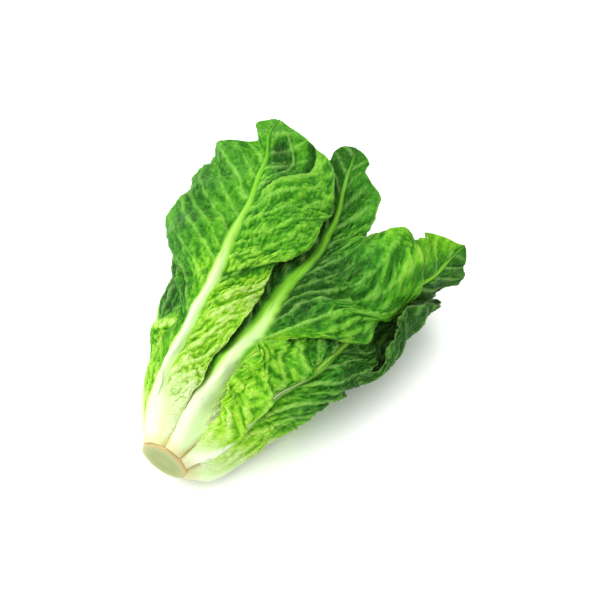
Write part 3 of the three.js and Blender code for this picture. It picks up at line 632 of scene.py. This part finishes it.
topMiddleLeaf = {
    "name": "leaf_top_middle", "to": 258,
    "rib": [[0, 23, rootOut], [0.05, 14, 19], [0.1, 10.5, 22.4], [0.16, 12.5, 26.2], [0.22, 16, 28.8],
        [0.29, 16.5, 30.8], [0.36, 15.5, 32.8], [0.42, 17, 34], [0.5, 21, 35.8], [0.57, 22.5, 37.3],
        [0.65, 21.5, 38.8], [0.72, 17, 39.7], [0.8, 12.5, 40.2], [0.87, 12, 41], [0.93, 8, 41.7],
        [1, 0, 42]],
    "low": [[0, rootX, 7, rootOut, 0], [0.05, 18, 1, 18.6, 0], [0.12, 40, -9, 23, 0],
        [0.25, 78, -12, 29, 0], [0.4, 120, -14, 34, 0], [0.55, 160, -14, 37, 0], [0.7, 200, -14.5, 40, 0],
        [0.8, 226, -12, 42, 0], [0.87, 237, -6.5, 42.5, 0], [0.91, 243, -8, 42.5, 0],
        [0.95, 248.5, -11, 42.5, 0], [1, 254, -9, 42, 0]],
    "high": [[0, rootX, 44, rootOut, 0], [0.04, 16, 47.5, 18.4, 0], [0.1, 34, 54, 24.3, 0],
        [0.2, 62, 49, 32, 0], [0.25, 77, 42, 36, 0], [0.28, 86, 35, 41.5, 0], [0.31, 93, 31.5, 46, 1],
        [0.345, 101, 33, 50.5, 1], [0.375, 107, 41, 53, 3], [0.405, 115, 55, 57, 7], [0.43, 124, 69, 60, 9],
        [0.45, 134, 76, 60.5, 10], [0.475, 148, 71, 62.5, 11], [0.5, 160, 81, 64.5, 11],
        [0.52, 171, 87, 66, 11], [0.54, 182, 77, 67, 10], [0.565, 196, 62, 67.5, 9],
        [0.588, 208, 51, 68, 8], [0.61, 212, 43, 67, 6], [0.63, 205.5, 37.5, 63, 4],
        [0.66, 199, 34.5, 60, 2], [0.69, 196, 32.5, 54, 1], [0.72, 200, 37, 45, -2],
        [0.77, 214, 39, 42.5, -2], [0.83, 233, 38, 42, -2], [0.87, 240, 26, 42, -1],
        [0.9, 245, 17.5, 42, 0], [0.94, 253, 14, 42, 0], [1, 257, 8, 42, 0]],
    "ruffle": 1.8, "ruffles": 5.5, "ruffleStart": 0.7, "pleat": 1.6, "pleats": 10, "pleatStart": 0.1,
    "lobe": 0.03, "lobes": 6.1,
    "grid": (225, 150), "slot": "green_leaf", "finish": freshLeaf,
    "look": {
        "seed": 5, "frill": [[0, 0.8], [1, 0.8]], "tooth": 0.4, "blister": 7, "blisterDepth": 1.0,
        "sweepLow": 1.9, "sweepHigh": 0.9, "ribHeight": 1.1,
        "stalkWidth": [[0, 14], [0.06, 12.5], [0.12, 10], [0.2, 8.5], [0.4, 7.5], [0.5, 6], [0.62, 3.6],
            [0.8, 2], [1, 1]],
        "ribFade": 0.93, "stalkShade": 0.6, "stretch": [[0, 2, 1], [0.1, 2, 1], [0.2, 0, 0], [1, 0, 0]],
        "tuck": [[0, 0, 0], [0.05, 0, -2], [0.12, 0, -1], [0.2, 0, 0], [1, 0, 0]],
        "fold": [[0, 0, 0], [0.3, 0.6, 0.4], [0.42, 0.9, 1.3], [0.62, 0.8, 0.8], [0.8, 0.5, 0.6],
            [1, 0.3, 0.3]],
        "crinkle": [[0, 0, 0], [0.2, 0.2, 0.1], [0.32, 0.8, 0.6], [0.45, 0.9, 1.6], [0.65, 0.9, 1.7],
            [0.8, 0.8, 0.8], [1, 0.5, 0.5]],
        # its low side is deep green partly as painted shade of the recess under the top left leaf
        "green": [[0, 0.04, 0.05, 0.05], [0.12, 0.1, 0.25, 0.12], [0.2, 0.42, 0.6, 0.2],
            [0.3, 0.75, 0.9, 0.45], [0.36, 0.86, 1, 0.5], [0.45, 0.88, 1, 0.66], [0.6, 0.95, 1, 0.72],
            [0.8, 0.95, 0.95, 0.79], [1, 0.9, 0.9, 0.8]],
        "stalkGreen": [[0, 0.04], [0.3, 0.09], [0.42, 0.22], [0.5, 0.4], [0.58, 0.52], [0.8, 0.6],
            [1, 0.75]],
        "shades": [[0.5, 0.25, 0.1, 0.14, 0.12], [0.56, 0.55, 0.06, 0.25, 0.1],
            [0.6, 0.95, 0.05, 0.2, -0.12], [0.55, -0.3, 0.12, 0.3, 0.2], [0.3, -0.4, 0.09, 0.35, 0.3],
            [0.4, -0.3, 0.08, 0.3, 0.3]],
    },
}
growLeaf(topMiddleLeaf)
print("grown: leaf_top_middle")


rightLeaf = {
    "name": "leaf_right", "to": 235,
    "rib": [[0, 70, rootOut], [0.066, 78, 25.5], [0.133, 70, 32.5], [0.233, 65, 41], [0.333, 67, 46.5],
        [0.458, 71, 51.5], [0.6, 77, 55.5], [0.7, 78, 59], [0.77, 75, 62], [0.88, 73, 68],
        [0.954, 75, 70.5], [1, 78, 71.5]],
    "low": [[0, rootX, 48, rootOut, 0], [0.03, 12, 50, 20, 0], [0.07, 24, 44, 26, 2], [0.12, 37, 36, 32, 4],
        [0.16, 48, 27, 36.8, 5], [0.2, 60, 25, 40.5, 5], [0.25, 73, 26, 44, 5], [0.29, 84, 25.5, 47, 3],
        [0.33, 92, 29, 48, 1], [0.37, 104, 38, 47.3, 1], [0.41, 115, 40, 48, 1], [0.5, 142, 45, 49.5, 0],
        [0.62, 172, 49, 53, 0], [0.72, 197, 51, 58, 0], [0.8, 212, 52, 63.5, 0], [0.87, 221, 54.5, 68.5, 0],
        [0.93, 228, 63, 71, 0], [1, 232.5, 74, 71.5, 0]],
    "high": [[0, rootX, 84, rootOut, 0], [0.015, 7.6, 84, 17, 0], [0.05, 16, 96, 23, 0],
        [0.09, 28, 100, 31.5, 1], [0.15, 46, 96, 41, 2], [0.19, 57, 92, 48, 3], [0.24, 70, 94, 54.5, 4],
        [0.33, 94, 94, 64, 4], [0.41, 115, 92, 68, 3], [0.46, 128, 90, 66, 1], [0.52, 141, 99, 62, 0],
        [0.6, 162, 104, 61, 0], [0.7, 188, 105, 64.5, 0], [0.8, 208, 104, 70, 0], [0.88, 220, 99, 72, 0],
        [0.94, 227, 91, 72, 0], [1, 232.5, 83, 71.5, 0]],
    "ruffle": 1.6, "ruffles": 7.5, "ruffleStart": 0.35, "pleat": 1.3, "pleats": 8, "pleatStart": 0.8,
    "lobe": 0.04, "lobes": 8.3,
    "grid": (205, 150), "slot": "green_leaf", "finish": freshLeaf,
    "look": {
        "seed": 8, "frill": [[0, 0.6], [0.06, 2], [0.12, 3.2], [0.35, 2.4], [0.45, 1.4], [1, 0.9]],
        "frillLength": 13, "frillReach": 20, "tooth": 1.1, "blister": 6.5, "blisterDepth": 1.15,
        "ribHeight": 0.8,
        "stalkWidth": [[0, 10], [0.05, 7.5], [0.1, 4.6], [0.2, 3.6], [0.4, 3], [0.6, 2.2], [0.85, 1.4],
            [1, 0.8]],
        "ribFade": 0.95,
        "stretch": [[0, 1.5, 1], [0.06, 2, 1], [0.14, 0, 2], [0.2, 0, 6], [0.27, 2, 8], [0.34, 4, 7],
            [0.42, 0, 0], [1, 0, 0]],
        "tuck": [[0, 0, 0], [0.02, 2, -1], [0.06, 3.5, -2], [0.1, 2, -1], [0.14, 0, 0], [1, 0, 0]],
        "bulge": [[0, 0, 0], [0.06, 0, 0], [0.13, 4.5, 1.5], [0.3, 5.5, 2.5], [0.45, 3, 2], [0.6, 0.5, 0.5],
            [1, 0, 0]],
        "fold": [[0, 0, 0], [0.08, 0.5, 0.3], [0.15, 1.1, 0.8], [0.4, 1.1, 1], [0.7, 0.7, 0.8],
            [1, 0.3, 0.3]],
        "crinkle": [[0, 0, 0], [0.05, 0.3, 0.2], [0.12, 1.2, 0.9], [0.3, 1.5, 1.4], [0.45, 1.3, 1.4],
            [0.7, 0.9, 0.9], [1, 0.4, 0.4]],
        "green": [[0, 0.06, 0.06, 0.06], [0.06, 0.12, 0.14, 0.12], [0.12, 0.38, 0.36, 0.3],
            [0.2, 0.56, 0.48, 0.5], [0.3, 0.6, 0.56, 0.85], [0.4, 0.7, 0.64, 1], [0.5, 0.9, 0.9, 1],
            [0.65, 1, 0.9, 1], [0.8, 0.98, 0.56, 1], [1, 0.9, 0.5, 0.9]],
        "stalkGreen": [[0, 0.0], [0.15, 0.03], [0.3, 0.12], [0.45, 0.4], [0.7, 0.4], [1, 0.6]],
        "shades": [[0.42, 0.0, 0.08, 0.4, 0.2]],
    },
}
growLeaf(rightLeaf)
print("grown: leaf_right")


outerRightLeaf = {
    "name": "leaf_outer_right", "to": 208,
    "rib": [[0, 117, rootOut], [0.017, 118, 23], [0.033, 120, 29], [0.067, 124, 33], [0.11, 129, 37],
        [0.18, 132, 43], [0.33, 134, 55], [0.5, 134, 64], [0.72, 133, 70], [0.86, 130, 71.5], [1, 124, 73]],
    "low": [[0, rootX, 88, rootOut, 0], [0.017, 7.8, 88, 23.5, 0], [0.033, 12, 83, 25.7, 1],
        [0.067, 19, 81, 31.2, 1], [0.11, 30, 83, 37, 2], [0.17, 45, 91, 45, 1], [0.21, 56, 94, 47, 0],
        [0.3, 73, 91, 49.5, 1], [0.4, 97, 90, 59.5, 1], [0.47, 113, 93, 62.5, 1], [0.52, 124, 94, 66.8, 1],
        [0.555, 132, 88, 69.8, 1], [0.6, 142, 79, 70.3, 2], [0.69, 160, 73.5, 71, 3],
        [0.78, 176, 74, 72, 2], [0.86, 188, 82, 73, 1], [0.93, 197, 93, 73.5, 0], [1, 203, 108, 73.5, 0]],
    "high": [[0, rootX, 146, rootOut, 0], [0.033, 12, 146, 21.5, 0], [0.09, 25, 151, 26, 0],
        [0.22, 56, 158, 36, 0], [0.39, 94, 166, 47, 0], [0.58, 132, 170, 54, 0], [0.76, 168, 168, 58, 0],
        [0.88, 192, 159, 62, 0], [1, 203, 140, 71, 0]],
    "ruffle": 1, "ruffles": 7, "ruffleStart": 0.1, "pleat": 1, "pleats": 8, "pleatStart": 0.2, "lobe": 0.03,
    "lobes": 7.7,
    "grid": (180, 120), "slot": "green_leaf", "finish": freshLeaf,
    "look": {
        "seed": 11, "frill": [[0, 0.4], [0.1, 1.4], [0.3, 1.8], [0.6, 1.2], [1, 1]], "frillLength": 12,
        "tooth": 1.1, "blister": 6, "blisterDepth": 1.1,
        "tuck": [[0, 0, 0], [0.015, 4.5, 0], [0.04, 5, 0], [0.1, 6, 0], [0.15, 6.5, 0], [0.22, 3, 0],
            [0.28, 0, 0], [1, 0, 0]],
        "stretch": [[0, 2, 0], [0.08, 5, 0], [0.12, 12, 0], [0.17, 16, 0], [0.24, 10, 0], [0.32, 0, 0],
            [0.78, 0, 0], [0.87, -7, 0], [0.95, -4, 0], [1, 0, 0]],
        "fold": [[0, 0, 0], [0.1, 0.4, 0.4], [0.3, 0.8, 0.7], [0.8, 0.7, 0.7], [1, 0.4, 0.4]],
        "crinkle": [[0, 0, 0], [0.06, 0.15, 0.1], [0.14, 0.9, 0.5], [0.3, 1.2, 1], [0.6, 1.1, 1],
            [1, 0.8, 0.8]],
        "green": [[0, 0.03, 0.04, 0.03], [0.08, 0.06, 0.12, 0.07], [0.15, 0.13, 0.36, 0.2],
            [0.3, 0.42, 0.8, 0.5], [0.42, 0.7, 1, 0.8], [0.6, 1, 1, 1], [1, 1, 1, 1]],
        "stalkGreen": [[0, 0.04], [0.2, 0.07], [0.35, 0.2], [0.5, 0.5], [0.75, 0.75], [1, 0.9]],
    },
}
growLeaf(outerRightLeaf)
print("grown: leaf_outer_right")


underneathLeaf = {
    "name": "leaf_underneath", "to": 244,
    "rib": [[0, 180, rootOut], [0.03, 180, 21], [0.08, 181, 28], [0.16, 182, 34.5], [0.3, 183, 45],
        [0.45, 183, 55.5], [0.6, 184, 61.5], [0.8, 184, 65], [1, 184, 66]],
    "low": [[0, rootX, 151, rootOut, 0], [0.03, 12, 153, 21, 0], [0.08, 25, 150, 33, 0],
        [0.2, 58, 150, 48, 0], [0.35, 96, 151, 62, 0], [0.55, 146, 152, 74, 0], [0.75, 194, 153, 78, 0],
        [0.9, 227, 158, 75, 0], [1, 240, 175, 69, 0]],
    "high": [[0, rootX, 210, rootOut, 0], [0.08, 25, 210, 33, 0], [0.2, 58, 211, 48, 0],
        [0.35, 96, 210, 62, 0], [0.55, 146, 208, 74, 0], [0.75, 194, 206, 77, 0], [0.9, 227, 201, 74, 0],
        [1, 241, 189, 68, 0]],
    "ruffle": 0.8, "ruffles": 5, "ruffleStart": 0.6, "pleat": 0.6, "pleats": 7, "pleatStart": 0.5,
    "lobe": 0.04, "lobes": 6.7,
    "grid": (150, 90), "slot": "green_leaf", "finish": freshLeaf,
    "look": {"seed": 14, "blade": 1.3},
}
growLeaf(underneathLeaf)
print("grown: leaf_underneath")


outerLeftLeaf = {
    "name": "leaf_outer_left", "to": 236,
    "rib": [[0, -111, rootOut], [0.04, -110, 21], [0.1, -109, 30], [0.2, -108, 39], [0.27, -108, 43],
        [0.35, -108, 49], [0.55, -106, 59.5], [0.75, -103, 63.5], [0.9, -101, 65], [1, -99, 66]],
    "low": [[0, rootX, -146, rootOut, 0], [0.1, 30, -146, 30, 0], [0.25, 70, -147, 42, 0],
        [0.45, 120, -149, 54, 0], [0.65, 168, -149, 58, 0], [0.85, 212, -138, 61.5, 0],
        [1, 233, -108, 65, 0]],
    "high": [[0, rootX, -76, rootOut, 0], [0.04, 15, -70, 19, 0], [0.1, 32, -47, 27, 0],
        [0.2, 60, -40, 37, 0], [0.32, 92, -42, 45, 0], [0.45, 126, -50, 51, 0], [0.6, 160, -58, 56, 0],
        [0.8, 204, -66, 60.5, 0], [0.93, 224, -80, 63.5, 0], [1, 233, -92, 65, 0]],
    "ruffle": 2, "ruffles": 6, "ruffleStart": 0.8, "pleat": 1, "pleats": 8, "pleatStart": 0.7, "lobe": 0.04,
    "lobes": 7.1,
    "grid": (170, 120), "slot": "green_leaf", "finish": freshLeaf,
    "look": {
        "seed": 17, "frill": [[0, 0.8], [0.1, 2], [0.5, 2], [1, 1]], "frillLength": 11, "tooth": 1.5,
        "blister": 6,
        "crinkle": [[0, 0, 0], [0.05, 0.9, 0.9], [0.12, 2.6, 2.9], [0.24, 2.4, 2.6], [0.36, 1.4, 1.3],
            [0.6, 1.1, 1.1], [1, 0.8, 0.8]],
        "steps": [[1, 0.3, 0.27, 1.3]],
        "shades": [[0.25, 0.7, 0.04, 0.3, -0.3], [0.29, 0.6, 0.04, 0.4, -0.3]],
        "green": [[0, 0.06, 0.1, 0.16], [0.05, 0.14, 0.22, 0.22], [0.09, 0.28, 0.38, 0.32],
            [0.16, 0.4, 0.52, 0.48], [0.3, 0.65, 0.85, 0.75], [0.42, 0.9, 1, 1], [1, 1, 1, 1]],
    },
}
growLeaf(outerLeftLeaf)
print("grown: leaf_outer_left")


# The leaves inside wrap the core in rings. A row gives the turn of the rib, how far each margin
# goes round from it, the distance out as a share of the head's radius, x of the root and of the
# tip, and the height of the rib.
innerLeaves = {
    "leaf_inner_low": (176, 58, 0.68, 22, 214, 0.7), "leaf_inner_left": (-62, 44, 0.58, 20, 226, 0.7),
    "leaf_inner_right": (76, 42, 0.45, 20, 186, 0.6), "leaf_inner_back": (-134, 48, 0.46, 36, 204, 0.6),
    "leaf_heart_1": (128, 56, 0.34, 48, 186, 0.5), "leaf_heart_2": (-22, 58, 0.29, 48, 184, 0.45),
    "leaf_heart_3": (-128, 60, 0.215, 48, 176, 0.4), "leaf_heart_4": (62, 70, 0.16, 58, 168, 0.35),
}
ringShape = {
    "at": [0, 0.15, 0.3, 0.5, 0.7, 0.85, 1], "opening": [0.5, 0.8, 0.95, 1, 1, 0.86, 0.35],
    "rise": [0, 0.35, 0.7, 0.95, 1, 1.04, 1.08], "sweep": [0.05, 0.5, 0.65, 0.7, 0.55, 0.25, -0.35],
}
ringRoot = {"from": [20, 36, 48, 58], "out": [12.8, 8.8, 7, 4.6]}  # the stem tapers, and roots sit on it
innerLook = {
    "frill": [[0, 0.8], [1, 0.8]], "frillLength": 13, "frillReach": 10, "tooth": 0.6,
    "veinSpacing": 14, "veinHeight": 0.6, "blister": 7, "blisterDepth": 0.6,
    "fold": [[0, 0, 0], [0.3, 0.3, 0.3], [1, 0.3, 0.3]],
    "stalkWidth": [[0, 5], [0.1, 7], [0.3, 5.5], [0.5, 3.6], [1, 1.2]],
    "green": [[0, 0.03, 0.05, 0.05], [0.3, 0.15, 0.25, 0.25], [0.6, 0.35, 0.5, 0.5], [1, 0.5, 0.65, 0.65]],
}


def innerLeaf(name, ribTurn, reach, level, root, tip, ribHeight):
    start = float(follow(ringRoot["from"], ringRoot["out"], root))
    rib, low, high = [], [], []
    for t, opening, rise, sweep in zip(*ringShape.values()):
        x = mix(root, tip, t)
        out = mix(start, level * float(follow(head["x"], head["radius"], x)), rise)
        halfTurn = opening * reach
        rib.append([t, ribTurn, out])
        for rows, way in ((low, -1), (high, 1)):
            marginX = x + sweep * math.radians(halfTurn) * out
            rows.append([t, marginX, ribTurn + way * halfTurn, out * 0.97, 0])
    kind = {"grid": (110, 70), "slot": "pale_leaf"}
    if "heart" in name:
        kind = {"grid": (70, 50), "slot": "heart_leaf"}
    return {
        **kind, "name": name, "from": root, "to": tip, "rib": rib, "low": low, "high": high,
        "ruffle": 1, "ruffles": 6, "ruffleStart": level * 7, "finish": paleLeaf,
        "pleat": 0.5, "pleats": 8, "pleatStart": level * 5, "lobe": 0.04, "lobes": 7 + level * 3,
        "look": {**innerLook, "seed": 20 + round(level * 100), "ribHeight": ribHeight},
    }


for name, row in innerLeaves.items():
    growLeaf(innerLeaf(name, *row))
print("grown: inner leaves")


# The stem: a turned butt with a rounded rim, and the short core that the leaves grow on.
# The profile rows are radius and x in millimetres.
stem = {
    "segments": 96,
    "profile": [(0, 0.25), (6, 0.2), (12, 0.1), (15.2, 0), (16.2, 0.1), (16.9, 0.6), (17.2, 1.3),
                (17.3, 2.4), (16.2, 2.8), (12.2, 3), (11.4, 6), (10.6, 9), (9.2, 14), (7.4, 20),
                (5.8, 27), (4, 34), (2, 39.5), (0, 42)],
}


# Cut lettuce stem: wet grey-green pith with fine pale specks, a shade darker half-way out and
# dried to tan at its uneven rim.
stemPaint = {
    "pith": [(0.0, "#95a066"), (0.45, "#8c9860"), (0.68, "#96a26a"), (0.8, "#a3a876"),
             (0.89, "#b3a677"), (0.95, "#bda270"), (1.0, "#b8945c")],
    "speck": "#a9ad72", "speckShows": 0.35, "speckDepth": 0.0005, "radius": 0.0185,
    "uneven": 0.0028, "roughness": 0.4, "ior": 1.4,
}


def makeStemFinish():
    paint = stemPaint
    finish, tree = newFinish("cut lettuce stem")
    spot = addNode(tree, "TexCoord", out="Object")
    middleY, middleZ = -head["middle"][1], head["coreHeight"][0] - head["middle"][2]
    onCut = addNode(tree, "Mapping", None, {
        "Vector": spot, "Scale": (0, 1, 1), "Location": (0, -middleY / 1000, -middleZ / 1000)})
    radius = addNode(tree, "VectorMath", {"operation": "LENGTH"}, {0: onCut})
    wobble = addNode(tree, "TexNoise", None, {"Vector": spot, "Scale": 90.0, "Detail": 3.0})  # 11 mm waves
    shift = addNode(tree, "Math", {"operation": "MULTIPLY_ADD"}, {
        0: wobble, 1: paint["uneven"], 2: -paint["uneven"] / 2})
    waved = addNode(tree, "Math", total, {0: radius, 1: shift})
    ring = addNode(tree, "Math", product, {0: waved, 1: 1 / paint["radius"]})
    pith = addNode(tree, "ValToRGB", {"stops": paint["pith"]}, {0: ring})
    speck = addNode(tree, "TexNoise", None, {"Vector": spot, "Scale": 420.0, "Detail": 2.0})  # 2.4 mm
    speckShare = addNode(tree, "MapRange", None, {
        "Value": speck, "From Min": 0.45, "From Max": 0.75, "To Max": paint["speckShows"]})
    colour = addNode(tree, "Mix", mixColour, {0: speckShare, 1: pith, 2: paint["speck"]})
    bump = addNode(tree, "Bump", None, {"Strength": 0.3, "Distance": paint["speckDepth"], "Height": speck})
    body = addNode(tree, "BsdfPrincipled", None, {
        "Base Color": colour, "Roughness": paint["roughness"], "IOR": paint["ior"], "Normal": bump,
        "Subsurface Weight": 0.2, "Subsurface Scale": 0.003, "Subsurface Radius": (1.0, 0.8, 0.3)})
    addNode(tree, "OutputMaterial", None, {"Surface": body})
    return finish


def turnStem():
    bm = bmesh.new()
    corners = [bm.verts.new((x / 1000, radius / 1000, 0)) for radius, x in stem["profile"]]
    rim = [bm.edges.new(pair) for pair in zip(corners, corners[1:])]
    bmesh.ops.spin(bm, geom=corners + rim, axis=(1, 0, 0), cent=(0, 0, 0), angle=math.tau,
                   steps=stem["segments"], use_merge=True)
    bmesh.ops.remove_doubles(bm, verts=bm.verts, dist=1e-6)
    bmesh.ops.recalc_face_normals(bm, faces=bm.faces)
    middleX, middleY, drop = head["middle"]
    place = Vector((-middleX, -middleY, head["coreHeight"][0] - drop)) / 1000
    bmesh.ops.translate(bm, verts=bm.verts, vec=place)
    mesh = bpy.data.meshes.new("stem_butt")
    bm.to_mesh(mesh)
    bm.free()
    mesh.shade_smooth()
    mesh.materials.append(makeStemFinish())
    piece = bpy.data.objects.new("stem_butt", mesh)
    scene.collection.objects.link(piece)
    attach(piece, "root")
    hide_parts("stem")


turnStem()
print("made: stem")


# The studio: a pale floor, a bright soft room and one large soft light. Gamma gives the
# photograph's deep, saturated shadows.
studio = {
    "floor": 6.0, "floorColour": "#fbfbfa", "floorRoughness": 0.9, "roomColour": "#ffffff", "room": 0.95,
    "key": 50.0, "keySize": 3.6, "keyAway": 1.8, "keyTowards": (-0.11, 0.514, 0.832),
    "exposure": 0.25, "gamma": 0.82,
}


def makeFloor():
    bm = bmesh.new()
    bmesh.ops.create_grid(bm, x_segments=1, y_segments=1, size=studio["floor"] / 2)
    bmesh.ops.translate(bm, verts=bm.verts, vec=(0, 0, -0.0003))  # clear of the lowest leaf
    mesh = bpy.data.meshes.new("floor")
    bm.to_mesh(mesh)
    bm.free()
    floor = bpy.data.objects.new("floor", mesh)
    scene.collection.objects.link(floor)
    finish, tree = newFinish("matt paper floor")  # even and without shine, so the shadow stays soft
    paper = addNode(tree, "BsdfPrincipled", None, {
        "Base Color": studio["floorColour"], "Roughness": studio["floorRoughness"]})
    addNode(tree, "OutputMaterial", None, {"Surface": paper})
    mesh.materials.append(finish)


def lightRoom():
    world = bpy.data.worlds.new("soft room")
    world.use_nodes = True
    background = world.node_tree.nodes["Background"]
    background.inputs["Color"].default_value = linear(studio["roomColour"])
    background.inputs["Strength"].default_value = studio["room"]
    scene.world = world

    lamp = bpy.data.lights.new("large soft light", "AREA")
    lamp.energy = studio["key"]
    lamp.size = studio["keySize"]
    light = bpy.data.objects.new("large soft light", lamp)
    towards = Vector(studio["keyTowards"]).normalized()
    light.location = towards * studio["keyAway"]
    light.rotation_mode = "QUATERNION"
    light.rotation_quaternion = (-towards).to_track_quat("-Z", "Y")
    scene.collection.objects.link(light)
    scene.view_settings.view_transform = "Standard"
    scene.view_settings.exposure = studio["exposure"]
    scene.view_settings.gamma = studio["gamma"]


makeFloor()
lightRoom()
print("made: studio")


# The camera looks down on the head from the butt's right, as the photograph does.
view = {"target": (0.01715, -0.01554, 0.0456), "away": 1.15, "azimuth": -60, "height": 56, "lens": 100}


def makeCamera():
    azimuth, height = math.radians(view["azimuth"]), math.radians(view["height"])
    level = math.cos(height)
    back = Vector((math.sin(azimuth) * level, -math.cos(azimuth) * level, math.sin(height)))
    camera = bpy.data.objects.new("camera", bpy.data.cameras.new("camera"))
    camera.data.lens = view["lens"]
    camera.data.sensor_width = 36
    camera.data.clip_start = 0.01
    camera.location = Vector(view["target"]) + back * view["away"]
    camera.rotation_mode = "QUATERNION"
    camera.rotation_quaternion = (-back).to_track_quat("-Z", "Y")
    scene.collection.objects.link(camera)
    scene.camera = camera


makeCamera()
print("made: camera")
